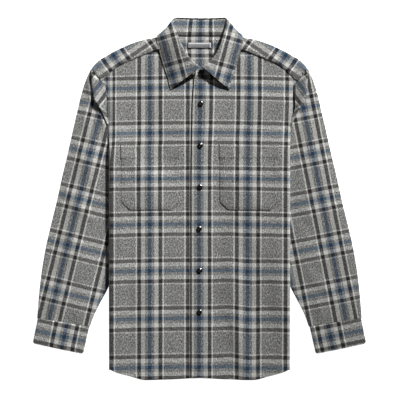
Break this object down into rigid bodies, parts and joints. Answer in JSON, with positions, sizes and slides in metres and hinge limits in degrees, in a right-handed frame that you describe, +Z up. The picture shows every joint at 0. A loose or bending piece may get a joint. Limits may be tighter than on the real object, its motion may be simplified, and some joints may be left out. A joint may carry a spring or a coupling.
{
  "type": "flannel shirt",
  "caption": "Long-sleeved plaid flannel shirt, laid flat and buttoned up, with a pointed turn-down collar, patch chest pockets and cuffs.",
  "frame": {"origin": "on the surface that the shirt lies on, below the middle of its outline", "axes": "+Y from hem to collar, +X to the right of the shirt seen from above, +Z up from the surface"},
  "size_m": [0.7316, 0.7966, 0.0201],
  "materials": {
    "flannel": "brushed cotton twill in a grey, black, white and blue plaid",
    "label": "smooth woven label, blank",
    "button": "polished black resin"
  },
  "bodies": {
    "root": {"back": "flannel", "yoke": "flannel", "front_left": "flannel", "front_right": "flannel", "front_placket": "flannel", "pocket_left": "flannel", "pocket_right": "flannel", "sleeve_left": "flannel", "sleeve_right": "flannel", "cuff_left": "flannel", "cuff_right": "flannel", "collar_stand": "flannel", "collar_leaf": "flannel", "neck_label": "label", "button_stand": "button", "button_1": "button", "button_2": "button", "button_3": "button", "button_4": "button", "button_5": "button", "button_6": "button"}
  },
  "joints": []
}
